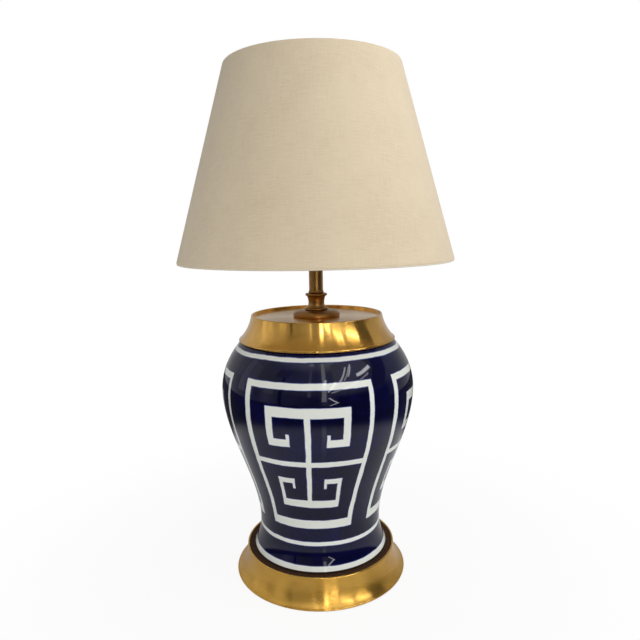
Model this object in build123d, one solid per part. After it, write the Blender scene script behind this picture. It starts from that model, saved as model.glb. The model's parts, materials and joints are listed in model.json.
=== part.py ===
from build123d import *

import math
import os

os.makedirs("parts", exist_ok=True)

# A ginger jar table lamp. Millimetres, +Z up, the floor at z = 0, the lamp's axis on the Z axis.
# The harp stands in the YZ plane, the switch knob points to +X and the lead leaves the base at +Y.

# Clearances
REST_GAP = 0.3      # under a piece that rests on another and can be lifted off it
RUN_GAP = 0.06      # radial, round a piece that turns or slides
SLIP_GAP = 0.2      # radial, round a piece dropped over or into another

COVE_HANDLE = 0.32  # how far the lean at each end of a concave side carries, as a share of its chord
BEAD_SWELL = 0.4    # swell of a rounded edge, as a share of its height

# Base
FELT_T = 1.2
BOARD_T = 1.5
BRASS_T = 1.2       # spun sheet of the base and the cap
RIM_T = 2.4         # folded edge of the sheet
BASE_H = 36.0
BASE_RIM_R = 100.6
BASE_FOOT_R = 115.4
BASE_LIP_H = 3.0    # rolled lip at the foot
BASE_LIP_W = 3.2
BASE_LIP_LIFT = 0.6  # the lip stays clear of the floor
BASE_FLANGE_W = 3.4  # turned in under the lip, to hold the board
BASE_LEAN_TOP = 3.0  # degrees from upright, of the concave side at its top and foot
BASE_LEAN_FOOT = 62.0
SEAT_DEPTH = 3.5    # from the rim down to the jar's seat
WEIGHT_R = 80.0
WEIGHT_H = 12.0
BUSHING_Z = 23.5
BUSHING_BORE_R = 3.4
BUSHING_WALL = 1.4
BUSHING_FLANGE_R = 7.0
BUSHING_FLANGE_T = 2.2
BUSHING_TAIL = 5.0  # inside the skirt

# Rod and what is screwed to it
ROD_R = 4.9
ROD_BORE_R = 3.4
ROD_TAIL = 3.0      # below the bottom nut
NUT_FLATS = 15.0
NUT_H = 6.0         # bottom nut
THIN_NUT_H = 4.5    # upper nut, under the escutcheon
WASHER_R = 13.0
WASHER_T = 1.6
LOCK_WASHER_R = 8.5
LOCK_WASHER_T = 1.0
THREAD_GAP = 0.05   # radial, between a nut and the rod

# Jar
CORK_T = 2.0
CORK_W = 7.0        # how far it reaches in under the jar's foot
JAR_WALL = 5.0
JAR_FLOOR_T = 6.0
JAR_FOOT_GAP = 7.9  # from the jar's foot out to the base's rim, where the cork shows
JAR_FOOT_R = BASE_RIM_R - RIM_T - JAR_FOOT_GAP
JAR_FOOT_ROUND = 2.5
JAR_FOOT_RING_W = 10.0
JAR_FOOT_RING_H = 3.0
JAR_HOLE_R = 8.0
JAR_WAIST_R = 81.3
JAR_WAIST_H = 38.5
JAR_BELLY_R = 126.5
JAR_BELLY_H = 221.5
JAR_SHOULDER_H = 299.0  # where the neck starts
JAR_SHOULDER_RISE = 41.0  # how far the belly stays upright
JAR_SHOULDER_RUN = 17.8   # how far the shoulder stays level
JAR_NECK_R = 74.0
JAR_NECK_H = 13.5   # from the shoulder to the mouth

# Cap
CAP_RIM_R = 86.0
CAP_RIM_H = 3.6     # from the flat top up to the rim
CAP_DROP = 29.8     # from the flat top down to the foot
CAP_FOOT_R = 102.5
CAP_LIP = 1.5       # how far the foot is rounded out
CAP_BRIM_W = 0.85   # flat under the foot
CAP_LEAN_TOP = 10.0
CAP_LEAN_FOOT = 46.0
LOCATOR_T = 3.0
LOCATOR_GAP = 1.0   # radial, inside the jar's mouth

# Escutcheon, neck and stem
ESCUTCHEON_R = 30.6
ESCUTCHEON_H = 8.3
ESCUTCHEON_TOP_R = 16.5
ESCUTCHEON_WALL = 1.6
ESCUTCHEON_EDGE = 3.0  # height of the widest point
NECK_H = 21.5
NECK_STEP_R = 15.2
NECK_STEP_H = 3.0
NECK_WAIST_R = 10.4
NECK_WAIST_H = 9.5
NECK_LIP_R = 14.3
NECK_LIP_H = 3.0
COLLAR_R = 10.0
COLLAR_H = 4.0
STEM_R = 9.1
STEM_WALL = 1.3
STEM_H = 61.0

# Lampholder
CASE_R = 17.5
CASE_WALL = 0.8
CASE_HUB_R = 8.5
CASE_HUB_H = 7.5
CASE_CUP_H = 21.0   # from the saddle to the cup's brim
CASE_BRIM_H = 6.0
SHELL_H = 43.5
LINER_T = 0.8
BODY_H = 17.5
TERMINAL_FLAT = 12.0
TERMINAL_HEAD_R = 2.8
TERMINAL_HEAD_T = 1.6
TERMINAL_SHANK_R = 1.5
TERMINAL_SHANK_H = 5.0
TERMINAL_SLOT_W = 0.8
TERMINAL_SLOT_H = 0.5
SCREW_SHELL_T = 0.5
SCREW_SHELL_H = 22.0
CONTACT_R = 3.2
CONTACT_H = 2.2

# Switch
KNOB_R = 5.5
KNOB_L = 11.0
KNOB_SHANK_R = 3.4
KNOB_SHANK_L = 3.8
KNOB_ROUND = 1.6
KNOB_FLUTES = 12
KNOB_FLUTE_R = 0.5
KNOB_STANDOFF = 1.0  # from the case to the knob
KNOB_LIFT = 9.5     # of its axis, above the insulator's foot
SPINDLE_R = 2.0
SPINDLE_DEPTH = 9.0  # into the insulator
SPINDLE_HOLE_GAP = 1.0  # radial, through the case and the liner

# Bulb
BULB_R = 30.0
BULB_L = 108.0
BULB_CAP_R = 13.2
BULB_CAP_H = 22.0
BULB_TIP_H = 5.0    # contact and insulator, below the screw part
BULB_TIP_R = 4.8
BULB_TIP_DOME = 0.3
BULB_CONTACT_H = 1.7
BULB_TAPER = 2.0    # from the screw part in to the insulator
THREAD_PITCH = 3.6
THREAD_DEPTH = 0.7
THREAD_START = 2.5  # first ridge, above the foot of the screw part
THREAD_PLAIN = 5.0  # unthreaded length
BULB_NECK_STEP = 0.5  # glass inside the screw part's rim
BULB_GLASS_T = 0.9
BULB_STEM_R = 5.0
BULB_STEM_H = 34.0

# Harp and saddle
SADDLE_T = 1.5
SADDLE_W = 14.0
EAR_SPACING = 70.0
EAR_T = 2.4
EAR_W = 7.0
EAR_H = 8.0
PEG_H = 9.0
WIRE_R = 2.0
FERRULE_WALL = 0.95
FERRULE_H = 16.0
HARP_H = 199.0      # from the saddle to the underside of the spider
HARP_LEG_H = 32.0
HARP_SPREAD = 54.0
HARP_BEND_H = 76.0
HARP_UPPER_H = 38.0  # from the upper bend to the top wire
HARP_TOP_W = 36.0
HARP_BEND_R = 50.0
HARP_CROWN_R = 22.0
STUD_R = 3.1
STUD_H = 12.5
STUD_BOSS_R = 6.0
STUD_BOSS_T = 1.5   # above and below the wire

# Shade
SHADE_TOP_R = 110.2
SHADE_FOOT_R = 176.9
SHADE_H = 240.0
LINEN_T = 0.9
LINER_SHEET_T = 0.6
SHEET_GAP = 0.1     # glue line between linen and liner
RING_R = 1.3        # wire of both rings
RING_INSET = 2.2    # from the shade's edge to the ring
SPIDER_DROP = 16.2  # from the shade's top down to the hub
HUB_R = 12.0
HUB_T = 2.0
ARM_R = 1.5
ARM_COUNT = 3
ARM_FLAT = 28.0     # where the arm starts to rise
ARM_BEND_R = 15.0

# Finial
FINIAL_H = 25.0
FINIAL_FOOT_R = 7.0
FINIAL_NECK_R = 4.9
FINIAL_BALL_R = 7.6
FINIAL_CHAMFER = 1.2
FINIAL_HOLE_H = 11.5
FINIAL_FOOT_H = 4.0
FINIAL_NECK_H = 7.5   # where the ball starts
FINIAL_BALL_H = 14.5  # where it is widest

# Heights, stacked from the floor
board_z = FELT_T
flange_z = board_z + BOARD_T
seat_z = BASE_H - SEAT_DEPTH
weight_z = seat_z - BRASS_T - WEIGHT_H
washer_z = weight_z - WASHER_T
lock_washer_z = washer_z - LOCK_WASHER_T
bottom_nut_z = lock_washer_z - NUT_H
jar_z = seat_z + CORK_T
mouth_z = jar_z + JAR_SHOULDER_H + JAR_NECK_H
cap_z = mouth_z + BRASS_T
escutcheon_top_z = cap_z + ESCUTCHEON_H
neck_top_z = escutcheon_top_z + NECK_H
stem_z = neck_top_z + COLLAR_H
saddle_z = stem_z + STEM_H
case_z = saddle_z + SADDLE_T
brim_z = case_z + CASE_CUP_H
body_z = brim_z - CASE_BRIM_H
body_top_z = body_z + BODY_H
knob_z = body_z + KNOB_LIFT
bulb_z = body_top_z + CONTACT_H + REST_GAP
peg_z = saddle_z + SADDLE_T + EAR_H
leg_z = peg_z + PEG_H + REST_GAP
hub_z = saddle_z + SADDLE_T + HARP_H + REST_GAP
boss_top_z = hub_z - REST_GAP
crown_z = boss_top_z - STUD_BOSS_T - WIRE_R
shade_top_z = hub_z + SPIDER_DROP
shade_foot_z = shade_top_z - SHADE_H
finial_z = hub_z + HUB_T + REST_GAP

# Radii that follow from a fit
rod_hole_r = ROD_R + SLIP_GAP
nut_hole_r = ROD_R + THREAD_GAP
base_lip_in_r = BASE_FOOT_R - BASE_LIP_W
board_r = base_lip_in_r - SLIP_GAP
ear_y = EAR_SPACING / 2
case_in_r = CASE_R - CASE_WALL
shell_r = case_in_r - SLIP_GAP
liner_r = shell_r - CASE_WALL - SLIP_GAP
insulator_r = liner_r - LINER_T - SLIP_GAP
thimble_r = BULB_CAP_R + REST_GAP
ferrule_bore_r = WIRE_R + RUN_GAP


def outline(*curves):
    """A face in the XZ plane from the curves that bound it."""
    return make_face([edge for curve in curves for edge in curve.edges()])


def turned(*curves):
    """A solid of revolution about the lamp's axis."""
    return revolve(outline(*curves), Axis.Z)


def at(radius, height):
    return (radius, 0, height)


def path(*points):
    """Straight lines through (radius, height) points."""
    return Polyline(*[at(radius, height) for radius, height in points])


def tube(inner_r, outer_r, low_z, high_z):
    """A round tube or, with no inner radius, a rod, upright on the lamp's axis."""
    height = high_z - low_z
    solid = Cylinder(outer_r, height)
    if inner_r > 0:
        solid -= Cylinder(inner_r, height)
    return Pos(0, 0, (low_z + high_z) / 2) * solid


def cove(top, foot, lean_top, lean_foot):
    """The concave side of a spun skirt, from its top to its foot."""
    reach = COVE_HANDLE * math.dist(top, foot)
    lean_a, lean_b = math.radians(lean_top), math.radians(lean_foot)
    near_top = at(top[0] + reach * math.sin(lean_a), top[1] - reach * math.cos(lean_a))
    near_foot = at(foot[0] - reach * math.sin(lean_b), foot[1] + reach * math.cos(lean_b))
    return Bezier(at(*top), near_top, near_foot, at(*foot))


def bead(radius, low_z, high_z):
    """A rounded edge that swells out to a radius, and the radius of its ends."""
    end_r = radius - BEAD_SWELL * (high_z - low_z)
    middle = at(radius, (low_z + high_z) / 2)
    return ThreePointArc(at(end_r, low_z), middle, at(end_r, high_z)), end_r


def hex_nut(low_z, height):
    blank = extrude(RegularPolygon(NUT_FLATS / 2, 6, major_radius=False), height)
    return Pos(0, 0, low_z) * (blank - Pos(0, 0, height / 2) * Cylinder(nut_hole_r, height))


# Base

def base_side():
    """The skirt's outer face."""
    lip_top_z = BASE_LIP_LIFT + BASE_LIP_H
    return cove(
        (BASE_RIM_R, BASE_H - RIM_T / 2),
        (BASE_FOOT_R - BASE_LIP_H / 2, lip_top_z),
        BASE_LEAN_TOP,
        BASE_LEAN_FOOT,
    )


def base_shell():
    lip_r = BASE_LIP_H / 2
    bead_r = BASE_FOOT_R - lip_r
    lip_top_z = BASE_LIP_LIFT + BASE_LIP_H
    flange_r = base_lip_in_r - BASE_FLANGE_W
    rim_z = BASE_H - RIM_T / 2
    rim_in_r = BASE_RIM_R - RIM_T
    skin_top = (BASE_RIM_R - BRASS_T, seat_z - BRASS_T)
    skin_foot = (flange_r, flange_z + BRASS_T)
    foot = path(
        skin_foot,
        (flange_r, flange_z),
        (base_lip_in_r, flange_z),
        (base_lip_in_r, BASE_LIP_LIFT),
        (bead_r, BASE_LIP_LIFT),
    )
    bead = ThreePointArc(
        at(bead_r, BASE_LIP_LIFT), at(BASE_FOOT_R, BASE_LIP_LIFT + lip_r), at(bead_r, lip_top_z)
    )
    rim = ThreePointArc(
        at(BASE_RIM_R, rim_z), at(BASE_RIM_R - RIM_T / 2, BASE_H), at(rim_in_r, rim_z)
    )
    seat = path(
        (rim_in_r, rim_z),
        (rim_in_r, seat_z),
        (rod_hole_r, seat_z),
        (rod_hole_r, seat_z - BRASS_T),
        skin_top,
    )
    skin = cove(skin_top, skin_foot, BASE_LEAN_TOP, BASE_LEAN_FOOT)
    shell = turned(foot, bead, base_side(), rim, seat, skin)
    return shell - bushing_barrel(BUSHING_BORE_R + BUSHING_WALL + SLIP_GAP)


def bushing_barrel(radius):
    """A rod along +Y through the rear of the skirt."""
    barrel = Rot(-90, 0, 0) * Cylinder(
        radius, BASE_FOOT_R, align=(Align.CENTER, Align.CENTER, Align.MIN)
    )
    return Pos(0, BASE_FOOT_R / 4, BUSHING_Z) * barrel


def cord_bushing():
    """A tube through the skirt, with a flange that is moulded to the skirt's curve."""
    flange_foot_z = BUSHING_Z - BUSHING_FLANGE_R
    foot_y = max(point.X for point in base_side_at(flange_foot_z))
    outer_y = foot_y + SLIP_GAP + BUSHING_FLANGE_T
    inner_y = BASE_RIM_R - BRASS_T - BUSHING_TAIL
    barrel_r = BUSHING_BORE_R + BUSHING_WALL
    centre = Pos(0, (inner_y + outer_y) / 2, BUSHING_Z) * Rot(90, 0, 0)
    length = outer_y - inner_y
    blank = centre * Cylinder(BUSHING_FLANGE_R, length)
    rim_z = BASE_H - RIM_T / 2
    lip_top_z = BASE_LIP_LIFT + BASE_LIP_H
    bead_r = BASE_FOOT_R - BASE_LIP_H / 2
    skirt = turned(
        cove(
            (BASE_RIM_R + SLIP_GAP, rim_z),
            (bead_r + SLIP_GAP, lip_top_z),
            BASE_LEAN_TOP,
            BASE_LEAN_FOOT,
        ),
        path(
            (bead_r + SLIP_GAP, lip_top_z),
            (0, lip_top_z),
            (0, rim_z),
            (BASE_RIM_R + SLIP_GAP, rim_z),
        ),
    )
    solid = blank - skirt + centre * Cylinder(barrel_r, length)
    return solid - centre * Cylinder(BUSHING_BORE_R, length)


def base_side_at(height):
    """Where the skirt's outer face crosses a height."""
    level = Line(at(0, height), at(2 * BASE_FOOT_R, height))
    return [vertex.center() for vertex in base_side().intersect(level).vertices()]


def felt_pad():
    return tube(0, board_r, 0, FELT_T)


def bottom_cover():
    return tube(0, board_r, board_z, flange_z)


def base_weight():
    return tube(rod_hole_r, WEIGHT_R, weight_z, weight_z + WEIGHT_H)


# Rod, nuts and washers

def threaded_rod():
    return tube(ROD_BORE_R, ROD_R, bottom_nut_z - ROD_TAIL, case_z + CASE_HUB_H)


def bottom_washer():
    return tube(rod_hole_r, WASHER_R, washer_z, weight_z)


def lock_washer():
    return tube(rod_hole_r, LOCK_WASHER_R, lock_washer_z, washer_z)


def bottom_nut():
    return hex_nut(bottom_nut_z, NUT_H)


def upper_washer():
    return tube(rod_hole_r, WASHER_R, cap_z, cap_z + WASHER_T)


def upper_nut():
    return hex_nut(cap_z + WASHER_T, THIN_NUT_H)


# Jar

def jar_side(inset):
    """The jar's side from its waist to the foot of its neck, set in by the wall for its inner face."""
    waist_r, belly_r, neck_r = JAR_WAIST_R - inset, JAR_BELLY_R - inset, JAR_NECK_R - inset
    waist_z, belly_z = jar_z + JAR_WAIST_H, jar_z + JAR_BELLY_H
    shoulder_z = jar_z + JAR_SHOULDER_H - inset
    third = (belly_z - waist_z) / 3
    flank = Bezier(
        at(waist_r, waist_z),
        at(waist_r, waist_z + third),
        at(belly_r, belly_z - third),
        at(belly_r, belly_z),
    )
    shoulder = Bezier(
        at(belly_r, belly_z),
        at(belly_r, belly_z + JAR_SHOULDER_RISE),
        at(neck_r + JAR_SHOULDER_RUN, shoulder_z),
        at(neck_r, shoulder_z),
    )
    return [flank, shoulder]


def jar():
    waist_z = jar_z + JAR_WAIST_H
    foot_z = jar_z + JAR_FOOT_ROUND
    ring_top_z = jar_z + JAR_FOOT_RING_H
    floor_z = ring_top_z + JAR_FLOOR_T
    shoulder_z = jar_z + JAR_SHOULDER_H
    foot_r = JAR_FOOT_R - JAR_FOOT_ROUND
    ring_in_r = foot_r - JAR_FOOT_RING_W
    inner_waist_r = JAR_WAIST_R - JAR_WALL
    bulge = JAR_FOOT_ROUND * math.sqrt(0.5)
    round_edge = ThreePointArc(
        at(foot_r, jar_z), at(foot_r + bulge, foot_z - bulge), at(JAR_FOOT_R, foot_z)
    )
    foot_side = Bezier(
        at(JAR_FOOT_R, foot_z), at(JAR_WAIST_R, (foot_z + waist_z) / 2), at(JAR_WAIST_R, waist_z)
    )
    neck = path(
        (JAR_NECK_R, shoulder_z),
        (JAR_NECK_R, mouth_z),
        (JAR_NECK_R - JAR_WALL, mouth_z),
        (JAR_NECK_R - JAR_WALL, shoulder_z - JAR_WALL),
    )
    floor = path(
        (inner_waist_r, waist_z),
        (inner_waist_r, floor_z),
        (JAR_HOLE_R, floor_z),
        (JAR_HOLE_R, ring_top_z),
        (ring_in_r, ring_top_z),
        (ring_in_r, jar_z),
        (foot_r, jar_z),
    )
    return turned(round_edge, foot_side, *jar_side(0), neck, *jar_side(JAR_WALL), floor)


def jar_seat_ring():
    """Fills the seat out to the rim's inner wall."""
    inner_r = JAR_FOOT_R - JAR_FOOT_ROUND - CORK_W
    return tube(inner_r, BASE_RIM_R - RIM_T - SLIP_GAP, seat_z, jar_z)


# Cap, escutcheon, neck and stem

def cap_locating_disc():
    return tube(rod_hole_r, JAR_NECK_R - JAR_WALL - LOCATOR_GAP, mouth_z - LOCATOR_T, mouth_z)


def brass_cap():
    top_z = cap_z + CAP_RIM_H
    rim_z = top_z - RIM_T / 2
    rim_in_r = CAP_RIM_R - RIM_T
    foot_z = cap_z - CAP_DROP
    lip_z = foot_z + 2 * CAP_LIP
    brim_r = CAP_FOOT_R - CAP_LIP / 2
    side_foot = (CAP_FOOT_R - CAP_LIP, lip_z)
    skin_foot = (brim_r - CAP_BRIM_W, foot_z)
    skin_top = (CAP_RIM_R - BRASS_T, mouth_z)
    side = cove((CAP_RIM_R, rim_z), side_foot, CAP_LEAN_TOP, CAP_LEAN_FOOT)
    lip = ThreePointArc(at(*side_foot), at(CAP_FOOT_R, foot_z + CAP_LIP), at(brim_r, foot_z))
    skin = cove(skin_top, skin_foot, CAP_LEAN_TOP, CAP_LEAN_FOOT)
    rim = ThreePointArc(
        at(CAP_RIM_R, rim_z), at(CAP_RIM_R - RIM_T / 2, top_z), at(rim_in_r, rim_z)
    )
    top = path(
        (rim_in_r, rim_z),
        (rim_in_r, cap_z),
        (rod_hole_r, cap_z),
        (rod_hole_r, mouth_z),
        skin_top,
    )
    brim = path((brim_r, foot_z), skin_foot)
    return turned(side, lip, brim, skin, top, rim)


def escutcheon():
    """A hollow dome, open below over the upper nut."""
    edge_z = cap_z + ESCUTCHEON_EDGE
    inner_r, inner_top_z = ESCUTCHEON_R - ESCUTCHEON_WALL, escutcheon_top_z - ESCUTCHEON_WALL
    foot_r = ESCUTCHEON_R - ESCUTCHEON_WALL / 2
    dome = Bezier(
        at(ESCUTCHEON_TOP_R, escutcheon_top_z),
        at((ESCUTCHEON_TOP_R + ESCUTCHEON_R) / 2, escutcheon_top_z),
        at(ESCUTCHEON_R, (edge_z + escutcheon_top_z) / 2),
        at(ESCUTCHEON_R, edge_z),
    )
    edge = Bezier(at(ESCUTCHEON_R, edge_z), at(ESCUTCHEON_R, cap_z), at(foot_r, cap_z))
    inside = Bezier(
        at(inner_r, cap_z),
        at(inner_r, inner_top_z),
        at(inner_r, inner_top_z),
        at(ESCUTCHEON_TOP_R, inner_top_z),
    )
    foot = path((foot_r, cap_z), (inner_r, cap_z))
    top = path(
        (ESCUTCHEON_TOP_R, inner_top_z),
        (rod_hole_r, inner_top_z),
        (rod_hole_r, escutcheon_top_z),
        (ESCUTCHEON_TOP_R, escutcheon_top_z),
    )
    return turned(dome, edge, foot, inside, top)


def neck():
    """A turned piece: a rounded step, a flare, a waist and a lip."""
    low_z = escutcheon_top_z
    step_z = low_z + NECK_STEP_H
    waist_z = low_z + NECK_WAIST_H
    lip_z = neck_top_z - NECK_LIP_H
    step, step_r = bead(NECK_STEP_R, low_z, step_z)
    lip, lip_r = bead(NECK_LIP_R, lip_z, neck_top_z)
    flare = Bezier(at(step_r, step_z), at(NECK_WAIST_R, step_z), at(NECK_WAIST_R, waist_z))
    throat = Bezier(
        at(NECK_WAIST_R, waist_z),
        at(NECK_WAIST_R, (waist_z + lip_z) / 2),
        at((NECK_WAIST_R + lip_r) / 2, lip_z),
        at(lip_r, lip_z),
    )
    bore = path((lip_r, neck_top_z), (rod_hole_r, neck_top_z), (rod_hole_r, low_z), (step_r, low_z))
    return turned(step, flare, throat, lip, bore)


def collar_ring():
    """A small ring with a rounded edge under the stem."""
    edge, edge_r = bead(COLLAR_R, neck_top_z, stem_z)
    bore = path((edge_r, stem_z), (rod_hole_r, stem_z), (rod_hole_r, neck_top_z), (edge_r, neck_top_z))
    return turned(edge, bore)


def stem_tube():
    return tube(STEM_R - STEM_WALL, STEM_R, stem_z, saddle_z)


# Lampholder

def socket_cap():
    """The cup that the lampholder stands in, with a hub that screws onto the rod."""
    hub_top_z = case_z + CASE_HUB_H
    floor_z = hub_top_z
    shoulder_z = brim_z - CASE_BRIM_H
    brim_in_r = case_in_r
    outside = Bezier(
        at(CASE_HUB_R, case_z + CASE_HUB_H / 2),
        at(CASE_HUB_R, floor_z),
        at(CASE_R, (floor_z + shoulder_z) / 2 - CASE_WALL),
        at(CASE_R, shoulder_z - CASE_WALL),
    )
    side = path(
        (CASE_R, shoulder_z - CASE_WALL),
        (CASE_R, brim_z),
        (brim_in_r, brim_z),
        (brim_in_r, shoulder_z - CASE_WALL),
    )
    inside = Bezier(
        at(brim_in_r, shoulder_z - CASE_WALL),
        at(brim_in_r, (floor_z + shoulder_z) / 2),
        at(CASE_HUB_R, floor_z + CASE_WALL),
        at(ROD_R, floor_z),
    )
    hub = path(
        (ROD_R, floor_z),
        (nut_hole_r, floor_z - THREAD_GAP),
        (nut_hole_r, case_z),
        (CASE_HUB_R, case_z),
        (CASE_HUB_R, case_z + CASE_HUB_H / 2),
    )
    return turned(outside, side, inside, hub)


def spindle_hole(radius, start_x):
    """A rod along +X at the switch's height, from start_x outwards."""
    rod = Rot(0, 90, 0) * Cylinder(radius, CASE_R, align=(Align.CENTER, Align.CENTER, Align.MIN))
    return Pos(start_x, 0, knob_z) * rod


def socket_shell():
    shell = tube(shell_r - CASE_WALL, shell_r, body_z, body_z + SHELL_H)
    brim = tube(shell_r, CASE_R, body_z + SHELL_H - 1.5 * CASE_WALL, body_z + SHELL_H)
    return shell + brim - spindle_hole(SPINDLE_R + SPINDLE_HOLE_GAP, CASE_R / 2)


def socket_liner():
    liner = tube(liner_r - LINER_T, liner_r, body_z, body_z + SHELL_H - 2 * CASE_WALL)
    return liner - spindle_hole(SPINDLE_R + SPINDLE_HOLE_GAP, CASE_R / 2)


def terminal_screws():
    """Two screws on the insulator's flats, at +Y and -Y."""
    head = Cylinder(TERMINAL_HEAD_R, TERMINAL_HEAD_T, align=(Align.CENTER, Align.CENTER, Align.MIN))
    shank = Cylinder(
        TERMINAL_SHANK_R, TERMINAL_SHANK_H, align=(Align.CENTER, Align.CENTER, Align.MAX)
    )
    slot = Pos(0, 0, TERMINAL_HEAD_T) * Box(2 * TERMINAL_HEAD_R, TERMINAL_SLOT_W, 2 * TERMINAL_SLOT_H)
    screw = head + shank - slot
    right = Pos(0, TERMINAL_FLAT, knob_z) * Rot(-90, 0, 0) * screw
    left = Pos(0, -TERMINAL_FLAT, knob_z) * Rot(90, 0, 0) * screw
    return Compound(children=[right, left])


def socket_body():
    """The moulded insulator: flats for the terminals and a bearing for the spindle."""
    block = tube(0, insulator_r, body_z, body_top_z)
    side = Box(2 * insulator_r, insulator_r, BODY_H)
    for direction in (1, -1):
        flat_y = direction * (TERMINAL_FLAT + insulator_r / 2)
        block -= Pos(0, flat_y, (body_z + body_top_z) / 2) * side
        hole_y = direction * (TERMINAL_FLAT - TERMINAL_SHANK_H / 2)
        hole = Cylinder(TERMINAL_SHANK_R + THREAD_GAP, TERMINAL_SHANK_H)
        block -= Pos(0, hole_y, knob_z) * Rot(90, 0, 0) * hole
    bearing_x = insulator_r - SPINDLE_DEPTH
    return block - spindle_hole(SPINDLE_R + RUN_GAP, bearing_x)


def screw_shell():
    """The threaded thimble, with a floor that stands on the insulator."""
    side = tube(thimble_r, thimble_r + SCREW_SHELL_T, body_top_z, body_top_z + SCREW_SHELL_H)
    floor = tube(2 * CONTACT_R, thimble_r, body_top_z, body_top_z + SCREW_SHELL_T)
    return side + floor


def centre_contact():
    low_z = body_top_z
    dome = Bezier(
        at(CONTACT_R, low_z + CONTACT_H / 2),
        at(CONTACT_R, low_z + CONTACT_H),
        at(0, low_z + CONTACT_H),
    )
    side = path((0, low_z + CONTACT_H), (0, low_z), (CONTACT_R, low_z), (CONTACT_R, low_z + CONTACT_H / 2))
    return turned(dome, side)


# Switch

def switch_spindle():
    start_x = insulator_r - SPINDLE_DEPTH + REST_GAP
    end_x = CASE_R + KNOB_STANDOFF + KNOB_L / 2
    rod = Rot(0, 90, 0) * Cylinder(SPINDLE_R, end_x - start_x)
    return Pos((start_x + end_x) / 2, 0, knob_z) * rod


def switch_knob():
    """A turned knob on a narrow shank, with flutes along its grip and a blind hole for the spindle."""
    start_x = CASE_R + KNOB_STANDOFF
    round_x = KNOB_L - KNOB_ROUND
    profile = path((0, KNOB_L), (0, 0), (KNOB_SHANK_R, 0), (KNOB_SHANK_R, KNOB_SHANK_L))
    grip = path((KNOB_SHANK_R, KNOB_SHANK_L), (KNOB_R, KNOB_SHANK_L + KNOB_ROUND), (KNOB_R, round_x))
    end = Bezier(at(KNOB_R, round_x), at(KNOB_R, KNOB_L), at(0, KNOB_L))
    knob = turned(profile, grip, end)
    flute = Pos(KNOB_R, 0, KNOB_L / 2 + KNOB_SHANK_L) * Cylinder(KNOB_FLUTE_R, KNOB_L)
    for turn in range(KNOB_FLUTES):
        knob -= Rot(0, 0, (turn + 0.5) * 360 / KNOB_FLUTES) * flute
    hole_l = KNOB_L / 2 + REST_GAP
    knob -= Pos(0, 0, hole_l / 2) * Cylinder(SPINDLE_R + THREAD_GAP, hole_l)
    return Pos(start_x, 0, knob_z) * Rot(0, 90, 0) * knob


# Bulb

def bulb_contact():
    low_z, high_z = bulb_z, bulb_z + BULB_CONTACT_H
    middle = at(BULB_TIP_R / 2, low_z + BULB_TIP_DOME)
    dome = ThreePointArc(at(0, low_z), middle, at(BULB_TIP_R, high_z))
    return turned(dome, path((BULB_TIP_R, high_z), (0, high_z), (0, low_z)))


def bulb_insulator():
    low_z, high_z = bulb_z + BULB_CONTACT_H, bulb_z + BULB_TIP_H
    wide_r = BULB_CAP_R - BULB_TAPER
    return turned(path((0, low_z), (BULB_TIP_R, low_z), (wide_r, high_z), (0, high_z), (0, low_z)))


def bulb_cap():
    """The screw part, a closed can, with its rolled thread as shallow grooves."""
    low_z = bulb_z + BULB_TIP_H
    high_z = low_z + BULB_CAP_H
    groove_r = BULB_CAP_R - THREAD_DEPTH
    turns = int((BULB_CAP_H - THREAD_PLAIN) / THREAD_PITCH)
    points = [(0, low_z), (BULB_CAP_R - BULB_TAPER, low_z)]
    for turn in range(turns):
        ridge_z = low_z + THREAD_START + turn * THREAD_PITCH
        points += [(BULB_CAP_R, ridge_z), (groove_r, ridge_z + THREAD_PITCH / 2)]
    points += [(groove_r, high_z), (0, high_z), (0, low_z)]
    return turned(path(*points))


def bulb_profile(inset):
    """The envelope's side, from its neck up to its crown on the axis."""
    low_z = bulb_z + BULB_TIP_H + BULB_CAP_H
    crown_z = bulb_z + BULB_L - inset
    centre_z = bulb_z + BULB_L - BULB_R
    wide_r, neck_r = BULB_R - inset, BULB_CAP_R - BULB_NECK_STEP - inset
    side = Bezier(
        at(neck_r, low_z),
        at(neck_r, (low_z + centre_z) / 2),
        at(wide_r, (low_z + centre_z) / 2),
        at(wide_r, centre_z),
    )
    half = math.sqrt(0.5) * wide_r
    dome = ThreePointArc(at(wide_r, centre_z), at(half, centre_z + half), at(0, crown_z))
    return side, dome


def bulb_glass():
    low_z = bulb_z + BULB_TIP_H + BULB_CAP_H
    top_z = bulb_z + BULB_L
    outer_r = BULB_CAP_R - BULB_NECK_STEP
    outer = bulb_profile(0)
    inner = bulb_profile(BULB_GLASS_T)
    crown = path((0, top_z - BULB_GLASS_T), (0, top_z))
    foot = path((outer_r - BULB_GLASS_T, low_z), (outer_r, low_z))
    return turned(*outer, crown, *inner, foot)


def bulb_mount():
    """The glass stem inside the envelope, with the light source on it."""
    low_z = bulb_z + BULB_TIP_H + BULB_CAP_H
    stem = tube(0, BULB_STEM_R, low_z, low_z + BULB_STEM_H / 3)
    return stem + tube(0, BULB_STEM_R / 2, low_z, low_z + BULB_STEM_H)


# Harp

def harp_saddle():
    """A strip under the lampholder, with an ear and a round peg at each end."""
    strip = Pos(0, 0, saddle_z + SADDLE_T / 2) * Box(SADDLE_W, EAR_SPACING + EAR_T, SADDLE_T)
    for side in (1, -1):
        ear = Box(EAR_W, EAR_T, EAR_H, align=(Align.CENTER, Align.CENTER, Align.MIN))
        strip += Pos(0, side * ear_y, saddle_z + SADDLE_T) * ear
        strip += Pos(0, side * ear_y, 0) * tube(0, WIRE_R, peg_z, peg_z + PEG_H)
    return strip - tube(0, rod_hole_r, saddle_z, case_z)


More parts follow.
